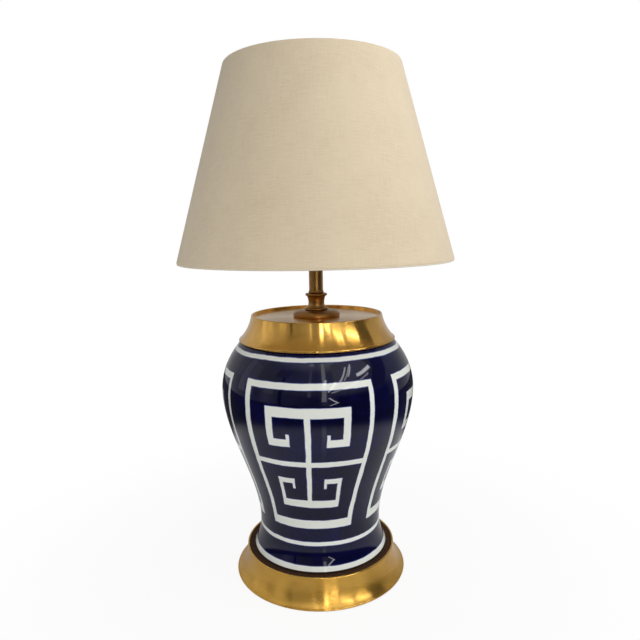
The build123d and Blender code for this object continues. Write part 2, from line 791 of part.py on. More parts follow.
def harp_loop():
    upper_z = crown_z - HARP_UPPER_H
    half = [
        (ear_y, leg_z),
        (ear_y, leg_z + HARP_LEG_H),
        (HARP_SPREAD, leg_z + HARP_BEND_H),
        (HARP_SPREAD, upper_z),
        (HARP_TOP_W / 2, crown_z),
    ]
    points = [(0, y, z) for y, z in half] + [(0, -y, z) for y, z in reversed(half)]
    legs = [HARP_BEND_R, HARP_BEND_R, HARP_CROWN_R, HARP_CROWN_R]
    wire = FilletPolyline(*points, radius=legs + legs[::-1])
    section = Plane(origin=wire @ 0, z_dir=wire % 0) * Circle(WIRE_R)
    return sweep(section, path=wire)


def harp_stud():
    """A boss round the top wire, with the stud for the finial."""
    boss = tube(0, STUD_BOSS_R, crown_z - WIRE_R - STUD_BOSS_T, boss_top_z)
    wire_hole = Rot(90, 0, 0) * Cylinder(WIRE_R + THREAD_GAP, 3 * STUD_BOSS_R)
    return boss + tube(0, STUD_R, crown_z + WIRE_R, boss_top_z + STUD_H) - Pos(0, 0, crown_z) * wire_hole


def ferrule(side):
    """A sleeve over one peg and the foot of one leg, with a rolled lower edge."""
    low_z = peg_z + REST_GAP
    outer_r = ferrule_bore_r + FERRULE_WALL
    sleeve = tube(ferrule_bore_r, outer_r, low_z, low_z + FERRULE_H)
    rolled = tube(ferrule_bore_r, outer_r + FERRULE_WALL / 2, low_z, low_z + 2 * FERRULE_WALL)
    return Pos(0, side * ear_y, 0) * (sleeve + rolled)


# Shade

def shade_radius(height):
    """The linen's outer radius at a height."""
    share = (shade_top_z - height) / SHADE_H
    return SHADE_TOP_R + share * (SHADE_FOOT_R - SHADE_TOP_R)


def cone_sheet(inset, thickness):
    """A cone as tall as the shade, set in from the linen's outer face."""
    return turned(
        path(
            (SHADE_TOP_R - inset, shade_top_z),
            (SHADE_FOOT_R - inset, shade_foot_z),
            (SHADE_FOOT_R - inset - thickness, shade_foot_z),
            (SHADE_TOP_R - inset - thickness, shade_top_z),
            (SHADE_TOP_R - inset, shade_top_z),
        )
    )


def shade_fabric():
    return cone_sheet(0, LINEN_T)


def shade_liner():
    return cone_sheet(LINEN_T + SHEET_GAP, LINER_SHEET_T)


def ring_radius(height):
    """Where a wire ring lies against the liner's inner face."""
    slope = math.atan2(SHADE_FOOT_R - SHADE_TOP_R, SHADE_H)
    sheets = LINEN_T + SHEET_GAP + LINER_SHEET_T
    return shade_radius(height) - sheets - (RING_R + SLIP_GAP) / math.cos(slope)


def wire_ring(height):
    return Pos(0, 0, height) * Torus(ring_radius(height), RING_R)


def shade_spider():
    ring_z = shade_top_z - RING_INSET
    arm_z = hub_z + ARM_R
    end_r = ring_radius(ring_z) - RING_R - SLIP_GAP
    hub = tube(STUD_R + RUN_GAP, HUB_R, hub_z, hub_z + HUB_T)
    route = FilletPolyline(
        at(HUB_R - ARM_R, arm_z), at(ARM_FLAT, arm_z), at(end_r, ring_z), radius=ARM_BEND_R
    )
    arm = sweep(Plane(origin=route @ 0, z_dir=route % 0) * Circle(ARM_R), path=route)
    for turn in range(ARM_COUNT):
        hub += Rot(0, 0, 90 + turn * 360 / ARM_COUNT) * arm
    return hub


# Finial

def finial():
    """A turned nut: foot, neck, ball and point, with a blind hole for the stud."""
    chamfer = FINIAL_CHAMFER / 2
    foot_top_z = finial_z + FINIAL_FOOT_H
    edge_z = foot_top_z - FINIAL_CHAMFER
    neck_z, ball_z = finial_z + FINIAL_NECK_H, finial_z + FINIAL_BALL_H
    tip_z = finial_z + FINIAL_H
    foot = path(
        (0, finial_z),
        (FINIAL_FOOT_R - chamfer, finial_z),
        (FINIAL_FOOT_R, finial_z + chamfer),
        (FINIAL_FOOT_R, edge_z),
    )
    scotia = Bezier(at(FINIAL_FOOT_R, edge_z), at(FINIAL_NECK_R, foot_top_z), at(FINIAL_NECK_R, neck_z))
    belly = Bezier(at(FINIAL_NECK_R, neck_z), at(FINIAL_BALL_R, neck_z), at(FINIAL_BALL_R, ball_z))
    crown = Bezier(
        at(FINIAL_BALL_R, ball_z),
        at(FINIAL_BALL_R, (ball_z + tip_z) / 2),
        at(FINIAL_NECK_R, tip_z),
        at(0, tip_z),
    )
    axis = path((0, tip_z), (0, finial_z))
    hole = tube(0, STUD_R + RUN_GAP, finial_z, finial_z + FINIAL_HOLE_H)
    return turned(foot, scotia, belly, crown, axis) - hole


pieces = {
    "felt_pad": felt_pad(),
    "bottom_cover": bottom_cover(),
    "base_shell": base_shell(),
    "base_weight": base_weight(),
    "cord_bushing": cord_bushing(),
    "bottom_nut": bottom_nut(),
    "lock_washer": lock_washer(),
    "bottom_washer": bottom_washer(),
    "threaded_rod": threaded_rod(),
    "jar_seat_ring": jar_seat_ring(),
    "jar": jar(),
    "cap_locating_disc": cap_locating_disc(),
    "brass_cap": brass_cap(),
    "upper_washer": upper_washer(),
    "upper_nut": upper_nut(),
    "escutcheon": escutcheon(),
    "neck": neck(),
    "collar_ring": collar_ring(),
    "stem_tube": stem_tube(),
    "harp_saddle": harp_saddle(),
    "socket_cap": socket_cap(),
    "socket_shell": socket_shell(),
    "socket_liner": socket_liner(),
    "socket_body": socket_body(),
    "terminal_screws": terminal_screws(),
    "screw_shell": screw_shell(),
    "centre_contact": centre_contact(),
    "switch_spindle": switch_spindle(),
    "switch_knob": switch_knob(),
    "bulb_contact": bulb_contact(),
    "bulb_insulator": bulb_insulator(),
    "bulb_cap": bulb_cap(),
    "bulb_glass": bulb_glass(),
    "bulb_mount": bulb_mount(),
    "harp_loop": harp_loop(),
    "harp_stud": harp_stud(),
    "ferrule_left": ferrule(-1),
    "ferrule_right": ferrule(1),
    "shade_spider": shade_spider(),
    "shade_top_ring": wire_ring(shade_top_z - RING_INSET),
    "shade_bottom_ring": wire_ring(shade_foot_z + RING_INSET),
    "shade_liner": shade_liner(),
    "shade_fabric": shade_fabric(),
    "finial": finial(),
}

for name, piece in pieces.items():
    export_step(piece, f"parts/{name}.step")
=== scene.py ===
import json
import math

import bpy
from mathutils import Matrix, Vector


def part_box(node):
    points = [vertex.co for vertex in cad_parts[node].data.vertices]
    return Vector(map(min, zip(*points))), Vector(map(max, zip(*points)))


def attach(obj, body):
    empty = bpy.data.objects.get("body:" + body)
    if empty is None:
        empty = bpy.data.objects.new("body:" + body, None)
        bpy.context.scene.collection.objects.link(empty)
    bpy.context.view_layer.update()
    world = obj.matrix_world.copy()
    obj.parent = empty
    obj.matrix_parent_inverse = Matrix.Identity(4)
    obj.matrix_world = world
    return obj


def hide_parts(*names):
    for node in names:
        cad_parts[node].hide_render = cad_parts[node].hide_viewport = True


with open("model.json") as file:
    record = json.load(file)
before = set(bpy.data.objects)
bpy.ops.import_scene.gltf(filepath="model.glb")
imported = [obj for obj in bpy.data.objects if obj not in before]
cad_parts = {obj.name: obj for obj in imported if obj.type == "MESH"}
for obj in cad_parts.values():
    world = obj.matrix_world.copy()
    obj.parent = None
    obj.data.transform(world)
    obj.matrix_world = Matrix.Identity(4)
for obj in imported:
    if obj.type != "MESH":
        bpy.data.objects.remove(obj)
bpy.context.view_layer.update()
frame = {"nodes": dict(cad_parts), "record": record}

# A ginger jar table lamp. Metres, +Z up. -Y is the side that the camera sees, +X is on its right.
MM = 0.001


def srgb(red, green, blue):
    """A display colour, 0 to 255, as the linear colour that shaders take."""
    def linear(level):
        level /= 255
        return level / 12.92 if level <= 0.04045 else ((level + 0.055) / 1.055) ** 2.4
    return linear(red), linear(green), linear(blue), 1.0


# Shader building blocks

def feed(socket, value):
    """Gives a socket a field or a constant."""
    if isinstance(value, Field):
        value.tree.links.new(value.output, socket)
    else:
        socket.default_value = value


class Field:
    """A number or colour that varies over a surface: the output of a shader node."""

    def __init__(self, tree, output):
        self.tree = tree
        self.output = output

    def math(self, operation, *others):
        """The field put through one of Blender's math operations."""
        node = self.tree.nodes.new("ShaderNodeMath")
        node.operation = operation
        for socket, value in zip(node.inputs, (self, *others)):
            feed(socket, value)
        return Field(self.tree, node.outputs[0])

    def __add__(self, other):
        return self.math("ADD", other)

    def __sub__(self, other):
        return self.math("SUBTRACT", other)

    def __mul__(self, other):
        return self.math("MULTIPLY", other)

    def __truediv__(self, other):
        return self.math("DIVIDE", other)

    def __abs__(self):
        return self.math("ABSOLUTE")

    def least(self, other):
        return self.math("MINIMUM", other)

    def most(self, other, roundness=0.0):
        """The greater of two, with the corner between them rounded off by roundness."""
        if roundness:
            return self.math("SMOOTH_MAX", other, roundness)
        return self.math("MAXIMUM", other)

    def step(self, low, high):
        """0 below low, 1 above high and an even curve between them. It falls if low is the greater."""
        node = self.tree.nodes.new("ShaderNodeMapRange")
        node.interpolation_type = "SMOOTHSTEP"
        feed(node.inputs["Value"], self)
        feed(node.inputs["From Min"], low)
        feed(node.inputs["From Max"], high)
        return Field(self.tree, node.outputs["Result"])


class Finish:
    """A material: one main shader, its constants and the fields that drive the rest."""

    def __init__(self, name, **constants):
        self.material = bpy.data.materials.new(name)
        self.material.use_nodes = True
        self.tree = self.material.node_tree
        self.shader = self.tree.nodes["Principled BSDF"]
        for key, value in constants.items():
            self.shader.inputs[key.replace("_", " ").title().replace("Ior", "IOR")].default_value = value
        self.bumps = None
        place = self.tree.nodes.new("ShaderNodeTexCoord")
        self.place = Field(self.tree, place.outputs["Object"])

    def xyz(self):
        """The three coordinates of a point on the surface, in metres."""
        node = self.tree.nodes.new("ShaderNodeSeparateXYZ")
        feed(node.inputs[0], self.place)
        return [Field(self.tree, output) for output in node.outputs]

    def away(self):
        """The distance from the lamp's axis."""
        x, y, _ = self.xyz()
        return (x * x + y * y).math("SQRT")

    def around(self):
        """The angle about the lamp's axis, in radians: 0 on the camera's side, more on its right."""
        x, y, _ = self.xyz()
        return x.math("ARCTAN2", y * -1.0)

    def vector(self, x, y, z):
        node = self.tree.nodes.new("ShaderNodeCombineXYZ")
        for socket, value in zip(node.inputs, (x, y, z)):
            feed(socket, value)
        return Field(self.tree, node.outputs[0])

    def noise(self, size, detail=2.0, at=None, rough=0.5):
        """A soft random field from 0 to 1, with features of about that size in metres."""
        node = self.tree.nodes.new("ShaderNodeTexNoise")
        feed(node.inputs["Vector"], at or self.place)
        node.inputs["Scale"].default_value = 1 / size
        node.inputs["Detail"].default_value = detail
        node.inputs["Roughness"].default_value = rough
        return Field(self.tree, node.outputs["Fac"])

    def cells(self, size):
        """The distance from the nearest of many scattered points, as a share of size."""
        node = self.tree.nodes.new("ShaderNodeTexVoronoi")
        feed(node.inputs["Vector"], self.place)
        node.inputs["Scale"].default_value = 1 / size
        return Field(self.tree, node.outputs["Distance"])

    def ramp(self, field, *stops):
        """A colour that follows a field, from (place, colour) stops."""
        node = self.tree.nodes.new("ShaderNodeValToRGB")
        feed(node.inputs["Fac"], field)
        band = node.color_ramp.elements
        while len(band) < len(stops):
            band.new(0.5)
        for element, (place, colour) in zip(band, stops):
            element.position = place
            element.color = colour
        return Field(self.tree, node.outputs["Color"])

    def blend(self, share, first, second):
        """The first colour where share is 0 and the second where it is 1."""
        node = self.tree.nodes.new("ShaderNodeMix")
        node.data_type = "RGBA"
        feed(node.inputs["Factor"], share)
        feed(node.inputs[6], first)
        feed(node.inputs[7], second)
        return Field(self.tree, node.outputs[2])

    def colour(self, value):
        feed(self.shader.inputs["Base Color"], value)

    def roughness(self, value):
        feed(self.shader.inputs["Roughness"], value)

    def relief(self, field, depth, strength=1.0):
        """Adds relief of that depth in metres."""
        node = self.tree.nodes.new("ShaderNodeBump")
        node.inputs["Strength"].default_value = strength
        node.inputs["Distance"].default_value = depth
        feed(node.inputs["Height"], field)
        if self.bumps:
            feed(node.inputs["Normal"], self.bumps)
        self.bumps = Field(self.tree, node.outputs["Normal"])
        feed(self.shader.inputs["Normal"], self.bumps)

    def surface(self, shader):
        """Shows another shader's output in place of the main one."""
        self.tree.links.new(shader, self.tree.nodes["Material Output"].inputs["Surface"])


# Jar: cobalt and white glaze, with four fretwork panels. Heights are above the jar's foot, in
# millimetres; angles are degrees from the middle of a panel, and both halves of a panel are alike.
PANELS = 4
FIRST_PANEL = -5.7      # the middle of the front panel, in degrees to the camera's right
STROKE_ROUND = 1.4      # rounding of a brush stroke's corners
STROKE_DRIFT = 2.2      # how far the brush strays sideways, up or down, and at a stroke's edge
STROKE_LIFT = 1.8
STROKE_RAGGED = 0.7
STROKE_PAINT = (-0.55, 0.25)    # about a stroke's edge, where white turns into a pale fringe,
STROKE_FRINGE = (0.2, 1.1)      # where the fringe turns into cobalt
STROKE_STEP = (-0.6, 0.6)       # and where the glaze steps from one thickness to the other
PANEL_HALF = 37.3
PANEL_LOW, PANEL_HIGH = 56.8, 252.9
PANEL_TAPER_FROM = 165.0        # the height below which its sides draw in and its middle moves left,
PANEL_TAPER = 0.012             # both in degrees for each millimetre
PANEL_LEAN = 0.021
PANEL_TOP_W, PANEL_FOOT_W = 7.5, 12.0
PANEL_SIDE_W = 6.3
PANEL_BROAD_W = 1.5             # how much broader its left side gets, and the heights between which
PANEL_BROAD = (148.0, 172.0)
MIDDLE_LOW, MIDDLE_HIGH = 148.8, 155.8
STEM_HALF = 1.65
# A fret's bar crosses the stem, an arm runs from each of its ends to a foot that turns back in, and
# the foot ends in a tick. Half, hook and the widths are angles, and the pairs are heights.
UPPER_FRET = dict(
    half=23.5, bar=(213.2, 225.6), arm_w=4.0,
    foot=(176.0, 186.0), hook=10.4, tick_w=2.0, tick=(176.0, 192.4),
)
LOWER_FRET = dict(
    half=22.0, bar=(88.2, 98.8), arm_w=2.8,
    foot=(124.0, 131.2), hook=10.0, tick_w=1.8, tick=(116.4, 131.2),
)
RINGS = ((274.6, 279.3), (32.8, 38.0))
FOOT_BAND = 9.0
BARE_FOOT = 3.3         # unglazed clay below the white band, coloured dark brown as painted shade under the foot
BARE_FADE = 0.4
COBALT = srgb(3, 3, 34)
COBALT_THIN = srgb(7, 8, 60)
COBALT_EDGE = srgb(52, 66, 130)
WHITE = srgb(234, 237, 229)
WHITE_DULL = srgb(228, 231, 223)
# bare clay at the foot, made dark brown as painted shade under the jar
CLAY_AND_SHADE = srgb(58, 46, 38)


def glaze():
    """The jar's glaze: white where a stroke is, by distance from the strokes' edges, else cobalt; its bare
    foot is bare clay darkened as painted shade.
    """
    finish = Finish("jar_glaze", ior=1.5, specular_ior_level=0.32)
    x, y, z = finish.xyz()
    jar_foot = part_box("jar")[0].z
    drift = (finish.noise(30 * MM, 1.0) - 0.5) * STROKE_DRIFT
    lift = (finish.noise(34 * MM, 1.0, at=finish.vector(z, x, y)) - 0.5) * STROKE_LIFT
    ragged = (finish.noise(8 * MM, 1.0) - 0.5) * STROKE_RAGGED
    level = (z - jar_foot) / MM
    height = level + lift
    degree = finish.away() * (math.radians(1) / MM)  # millimetres to a degree
    turn = finish.around() * math.degrees(1) - FIRST_PANEL
    half_pitch = 180 / PANELS
    below = (level * -1.0 + PANEL_TAPER_FROM).most(0.0)
    turn = turn.math("WRAP", half_pitch, -half_pitch) + below * PANEL_LEAN + drift / degree
    side = abs(turn)

    def stroke(inner, outer, low, high):
        """Less than 0 inside a stroke, and millimetres from its edge outside."""
        across = (inner - side).most(side - outer) * degree
        along = (height * -1.0 + low).most(height - high)
        return across.most(along, STROKE_ROUND)

    zero = side * 0.0       # makes a field of a number that is added to it
    middle = zero - 1.0     # past the middle, so that both halves of a stroke meet
    outer = zero + PANEL_HALF - below * PANEL_TAPER
    broad = turn.step(0.0, -1.0) * height.step(*PANEL_BROAD) * PANEL_BROAD_W
    inner = outer - (broad + PANEL_SIDE_W) / degree
    white = stroke(inner, outer, PANEL_LOW, PANEL_HIGH)
    white = white.least(stroke(middle, outer, PANEL_HIGH - PANEL_TOP_W, PANEL_HIGH))
    white = white.least(stroke(middle, outer, PANEL_LOW, PANEL_LOW + PANEL_FOOT_W))
    white = white.least(stroke(middle, outer, MIDDLE_LOW, MIDDLE_HIGH))
    white = white.least(stroke(middle, zero + STEM_HALF, LOWER_FRET["bar"][0], UPPER_FRET["bar"][1]))
    for fret in (UPPER_FRET, LOWER_FRET):
        half, hook = fret["half"], fret["hook"]
        arm_low = min(fret["bar"][0], fret["foot"][0])
        arm_high = max(fret["bar"][1], fret["foot"][1])
        white = white.least(stroke(middle, zero + half, *fret["bar"]))
        white = white.least(stroke(zero + half - fret["arm_w"], zero + half, arm_low, arm_high))
        white = white.least(stroke(zero + hook, zero + half, *fret["foot"]))
        white = white.least(stroke(zero + hook, zero + hook + fret["tick_w"], *fret["tick"]))
    for ring_low, ring_high in RINGS:
        white = white.least((height * -1.0 + ring_low).most(height - ring_high))
    white = white.least(height - FOOT_BAND) + ragged

    brush = finish.noise(14 * MM, 2.0, at=finish.vector(x, y, z * 2.0))
    pool = finish.noise(50 * MM, 2.0)
    blue = finish.ramp(brush * 0.35 + pool * 0.65, (0.40, COBALT), (0.72, COBALT_THIN))
    bare = finish.ramp(pool, (0.3, WHITE_DULL), (0.7, WHITE))
    fringe = finish.blend(white.step(*STROKE_FRINGE), COBALT_EDGE, blue)
    painted = finish.blend(white.step(*STROKE_PAINT), bare, fringe)
    # below BARE_FOOT: bare clay, coloured dark as painted shade where the foot turns under
    finish.colour(finish.blend(level.step(BARE_FOOT, BARE_FOOT - BARE_FADE), painted, CLAY_AND_SHADE))
    finish.roughness(finish.noise(60 * MM) * 0.04 + 0.03)
    finish.relief(finish.noise(38 * MM, 1.0), 0.5 * MM, 0.35)
    finish.relief(white.step(*STROKE_STEP), 0.03 * MM, 0.5)
    return finish.material


# Metals. Light and dark are a material's two tones, and rough is its mean roughness.
LACQUER_ROUGH = 0.06
RING_WANDER = 0.4       # millimetres: how far a turned ring's noise shifts on its way round
RING_SLOPE = 0.8        # so that rings also run across a flat face


def turned_metal(name, light, dark, rough, line_depth=0.004, anisotropic=1.0, patina=0.5, lacquer=0.4):
    """Lacquered brass, turned or spun: fine rings draw its highlights out up and down.

    Line depth is in millimetres, and patina is how much of the colour follows clouds instead of rings.
    """
    finish = Finish(name, metallic=1.0, anisotropic=anisotropic, anisotropic_rotation=0.25)
    finish.shader.inputs["Coat Weight"].default_value = lacquer
    finish.shader.inputs["Coat Roughness"].default_value = LACQUER_ROUGH
    tangent = finish.tree.nodes.new("ShaderNodeTangent")
    tangent.direction_type = "RADIAL"
    tangent.axis = "Z"
    finish.tree.links.new(tangent.outputs[0], finish.shader.inputs["Tangent"])
    x, y, z = finish.xyz()
    radius = finish.away().most(MM)
    wander = [place / radius * RING_WANDER * MM for place in (x, y)]
    rings = finish.vector(*wander, z + radius * RING_SLOPE)
    fine = finish.noise(0.35 * MM, 2.0, at=rings)
    broad = finish.noise(2.5 * MM, 2.0, at=rings)
    cloud = finish.noise(30 * MM, 4.0, rough=0.6)
    spots = finish.cells(9 * MM).step(0.16, 0.02) * 0.25
    worn = cloud * patina + broad * (1 - patina) + spots
    finish.colour(finish.ramp(worn, (0.36, light), (0.78, dark)))
    finish.roughness(fine * 0.05 + cloud * 0.08 + (rough - 0.065))
    finish.relief(broad, line_depth * MM, 0.5)
    finish.relief(fine, line_depth * 0.5 * MM, 0.5)
    return finish.material


def plain_metal(name, light, dark, rough, grain, depth, metallic=1.0):
    """Cast, plated or drawn metal, with a grain of that size."""
    finish = Finish(name, metallic=metallic)
    cloud = finish.noise(6 * grain, 3.0)
    fine = finish.noise(grain, 3.0, rough=0.6)
    finish.colour(finish.ramp(cloud * 0.6 + fine * 0.4, (0.38, dark), (0.62, light)))
    finish.roughness(fine * 0.18 + (rough - 0.09))
    finish.relief(fine, depth)
    return finish.material


def zinc():
    """Plated steel, with the faint flakes of the plating."""
    finish = Finish("zinc_plate", metallic=1.0)
    flake = finish.cells(1.4 * MM)
    finish.colour(finish.ramp(flake, (0.1, srgb(172, 174, 172)), (0.8, srgb(206, 206, 200))))
    finish.roughness(flake * 0.15 + 0.25)
    finish.relief(finish.noise(0.4 * MM, 2.0), 0.02 * MM)
    return finish.material


# Other materials

def moulded(name, light, dark, rough, grain=0.5 * MM, depth=0.01 * MM, **constants):
    """Moulded, painted or pressed material with a faint grain."""
    finish = Finish(name, **constants)
    fine = finish.noise(grain, 3.0)
    cloud = finish.noise(14 * grain, 2.0)
    finish.colour(finish.ramp(fine * 0.5 + cloud * 0.5, (0.36, dark), (0.64, light)))
    finish.roughness(fine * 0.16 + (rough - 0.08))
    finish.relief(fine, depth)
    return finish.material


def cork():
    """Dark bonded granules."""
    finish = Finish("cork_seat", specular_ior_level=0.2)
    grains = finish.cells(1.8 * MM)
    finish.colour(finish.ramp(grains, (0.15, srgb(32, 20, 12)), (0.75, srgb(72, 46, 27))))
    finish.roughness(grains * 0.2 + 0.7)
    finish.relief(grains, 0.25 * MM)
    return finish.material


def felt_cloth():
    """Pressed fibres, matted here and there."""
    finish = Finish("green_felt", sheen_weight=0.5, sheen_roughness=0.6)
    fibres = finish.noise(0.5 * MM, 4.0, rough=0.7)
    mat = finish.noise(6 * MM, 3.0)
    finish.colour(finish.ramp(fibres * 0.6 + mat * 0.4, (0.38, srgb(34, 58, 42)), (0.64, srgb(62, 92, 68))))
    finish.roughness(fibres * 0.1 + 0.85)
    finish.relief(fibres, 0.25 * MM)
    return finish.material


# Shade. Its linen was cut flat as part of a ring, so its threads run straight in that flat cut.
shade_low, shade_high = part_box("shade_fabric")
SHADE_FOOT_R = shade_high.x
LINEN_T = 0.5 * MM
LINEN_STEPS = 40        # down the cone
HEM_ROLL_R = 3.1 * MM   # to the linen's outer face, round each wire ring
HEM_STEPS = 14
HEM_END = 215           # degrees from straight out, where the linen's edge ends behind a ring
SEAM_W = 12 * MM
SEAM_T = 0.45 * MM
# Place from edge to edge, and rise as a share of its thickness. The last two points lie in the linen.
SEAM_PROFILE = (
    (-1.0, 0.0), (-0.94, 0.75), (-0.86, 1.0), (0.0, 1.0), (0.7, 0.96), (0.9, 0.6), (1.0, 0.0),
    (1.0, -0.4), (-1.0, -0.4),
)
THREAD = 0.62 * MM
THREAD_WANDER = 0.5     # millimetres


def shade_top_radius():
    """The linen's outer radius at the top, from the top of the node's mesh."""
    mesh = frame["nodes"]["shade_fabric"].data
    return max(math.hypot(v.co.x, v.co.y) for v in mesh.vertices if v.co.z > shade_high.z - MM)


SHADE_TOP_R = shade_top_radius()
SHADE_RISE = shade_high.z - shade_low.z
SHADE_LEAN = math.atan2(SHADE_FOOT_R - SHADE_TOP_R, SHADE_RISE)
SHADE_APEX_Z = shade_low.z + SHADE_FOOT_R / math.tan(SHADE_LEAN)
LINEN_LIGHT = srgb(222, 206, 177)
LINEN_MID = srgb(217, 200, 171)
LINEN_DARK = srgb(208, 190, 160)
LINEN_SLUB = srgb(196, 178, 148)
LINEN_KNOT = srgb(238, 228, 206)


def linen():
    """Plain weave with slubs and pale knots, laid out as in the flat cut."""
    finish = Finish("linen_weave", sheen_weight=0.25, sheen_roughness=0.5, specular_ior_level=0.25)
    _, _, z = finish.xyz()
    turn = finish.around() * math.sin(SHADE_LEAN)
    reach = (z * -1.0 + SHADE_APEX_Z) / math.cos(SHADE_LEAN)
    wander = (finish.noise(8 * MM, 2.0) - 0.5) * THREAD_WANDER * MM
    across = reach * turn.math("SINE") + wander
    along = reach * turn.math("COSINE") - wander
    # Noise that is squeezed in one direction comes out long in it, like a thread
    weft = finish.noise(1.1 * MM, 2.0, at=finish.vector(across * 0.06, along, 0.0))
    warp = finish.noise(1.1 * MM, 2.0, at=finish.vector(across, along * 0.05, 0.0))
    slub = finish.noise(1.3 * MM, 1.0, at=finish.vector(across * 0.10, along, 3.0)).step(0.62, 0.78)
    knot = finish.noise(1.6 * MM, 1.0, at=finish.vector(across * 0.45, along, 7.0)).step(0.68, 0.78)
    cloud = finish.noise(60 * MM, 2.0)
    tone = weft * 0.44 + warp * 0.26 + cloud * 0.30
    cloth = finish.ramp(tone, (0.34, LINEN_DARK), (0.5, LINEN_MID), (0.66, LINEN_LIGHT))
    cloth = finish.blend(slub * 0.2, cloth, LINEN_SLUB)
    cloth = finish.blend(knot * 0.6, cloth, LINEN_KNOT)
    finish.colour(cloth)
    finish.roughness(tone * 0.1 + 0.82)
    crossing = (across * (math.pi / THREAD)).math("SINE") * (along * (math.pi / THREAD)).math("SINE")
    finish.relief(crossing * 0.3 + weft * 0.8 + warp * 0.3, 0.08 * MM, 0.5)
    finish.relief(slub, 0.12 * MM, 0.5)
    return finish.material


def mesh_piece(name, points, faces, material, smooth=True):
    """A new object in the scene, with one material."""
    mesh = bpy.data.meshes.new(name)
    mesh.from_pydata(points, [], faces)
    mesh.validate()
    mesh.materials.append(material)
    for polygon in mesh.polygons:
        polygon.use_smooth = smooth
    piece = bpy.data.objects.new(name, mesh)
    bpy.context.scene.collection.objects.link(piece)
    return piece


def lathe(name, loop, material, turns=288):
    """A closed loop of (radius, height) points, turned about the lamp's axis."""
    count = len(loop)
    points, faces = [], []
    for turn in range(turns):
        angle = 2 * math.pi * turn / turns
        points += [(r * math.cos(angle), r * math.sin(angle), z) for r, z in loop]
        here, ahead = turn * count, (turn + 1) % turns * count
        for k in range(count):
            following = (k + 1) % count
            faces.append((here + k, ahead + k, ahead + following, here + following))
    return mesh_piece(name, points, faces, material)


def tube_faces(rows, count):
    """The faces between rows of points that each run round and close on themselves."""
    faces = []
    for row in range(rows - 1):
        here, ahead = row * count, (row + 1) * count
        for k in range(count):
            following = (k + 1) % count
            faces.append((here + k, here + following, ahead + following, ahead + k))
    return faces


def hem_roll(node, start, end):
    """Points and normals of the linen that rolls round a wire ring, from one angle to another."""
    low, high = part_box(node)
    wire_r = (high.z - low.z) / 2
    centre_r, centre_z = high.x - wire_r, (low.z + high.z) / 2
    for k in range(HEM_STEPS + 1):
        angle = math.radians(start + (end - start) * k / HEM_STEPS)
        normal = (math.cos(angle), math.sin(angle))
        yield centre_r + HEM_ROLL_R * normal[0], centre_z + HEM_ROLL_R * normal[1], normal


def linen_section():
    """The linen's outer face: over the top ring, down the cone and round the bottom ring."""
    lean = math.degrees(SHADE_LEAN)
    top = list(hem_roll("shade_top_ring", HEM_END, lean))
    foot = list(hem_roll("shade_bottom_ring", lean, -HEM_END))
    start_r, start_z, normal = top[-1]
    end_r, end_z, _ = foot[0]
    side = []
    for k in range(1, LINEN_STEPS):
        r = start_r + (end_r - start_r) * k / LINEN_STEPS
        z = start_z + (end_z - start_z) * k / LINEN_STEPS
        side.append((r, z, normal))
    return top + side + foot


def shade_linen(section, material):
    """The linen itself, turned from its outer and inner face."""
    outer = [(r, z) for r, z, _ in section]
    inner = [(r - normal[0] * LINEN_T, z - normal[1] * LINEN_T) for r, z, normal in section]
    return lathe("shade_linen", outer + inner[::-1], material)


def shade_seam(section, material):
    """The glued lap up the back of the shade."""
    points = []
    for r, z, normal in section:
        for place, rise in SEAM_PROFILE:
            angle = math.pi / 2 + place * SEAM_W / 2 / r
            out = r + normal[0] * SEAM_T * rise
            points.append((out * math.cos(angle), out * math.sin(angle), z + normal[1] * SEAM_T * rise))
    rows, count = len(section), len(SEAM_PROFILE)
    first_end = tuple(range(count))[::-1]
    last_end = tuple((rows - 1) * count + k for k in range(count))
    return mesh_piece("shade_seam", points, tube_faces(rows, count) + [first_end, last_end], material)


FELT_EDGE = 0.35        # rounding of its edges, as a share of its thickness
FELT_EDGE_STEPS = 6
FELT_EYE_R = 0.5 * MM   # of the hole in its middle, which keeps the turned loop off the axis


def felt_disc(material):
    """The felt, with soft edges."""
    low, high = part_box("felt_pad")
    radius = high.x
    edge = FELT_EDGE * (high.z - low.z)
    loop = [(FELT_EYE_R, low.z), (radius * 0.5, low.z)]
    for start, centre_z in ((-90, low.z + edge), (0, high.z - edge)):
        for k in range(FELT_EDGE_STEPS + 1):
            angle = math.radians(start + 90 * k / FELT_EDGE_STEPS)
            loop.append((radius - edge + edge * math.cos(angle), centre_z + edge * math.sin(angle)))
    loop += [(radius * 0.5, high.z), (FELT_EYE_R, high.z)]
    return lathe("felt_disc", loop, material)


